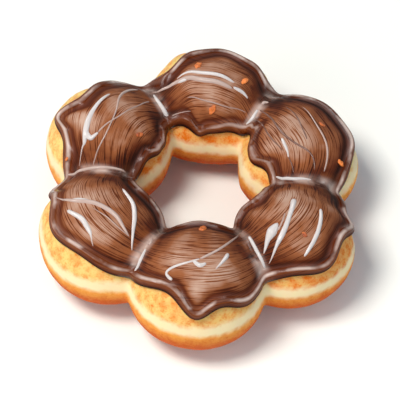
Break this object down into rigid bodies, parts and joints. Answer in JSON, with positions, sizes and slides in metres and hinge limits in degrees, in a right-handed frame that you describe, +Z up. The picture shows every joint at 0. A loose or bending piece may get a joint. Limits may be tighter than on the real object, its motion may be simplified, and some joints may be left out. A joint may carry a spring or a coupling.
{
  "type": "mochi doughnut",
  "caption": "Ring doughnut of fused round dough lobes around an open hole, its top dipped in chocolate icing with dripping edges and drizzled threads.",
  "frame": {"origin": "on the surface the doughnut rests on, under the middle of its outline", "axes": "+Z up along the hole, +Y towards the back lobe of the picture, +X to the right"},
  "size_m": [0.0798, 0.086, 0.0296],
  "materials": {
    "fried_dough": "golden fried crust with a pale band round the waist",
    "chocolate_icing": "glossy milk chocolate icing"
  },
  "bodies": {
    "root": {"dough_ring": "fried_dough", "chocolate_icing": "chocolate_icing"}
  },
  "joints": []
}
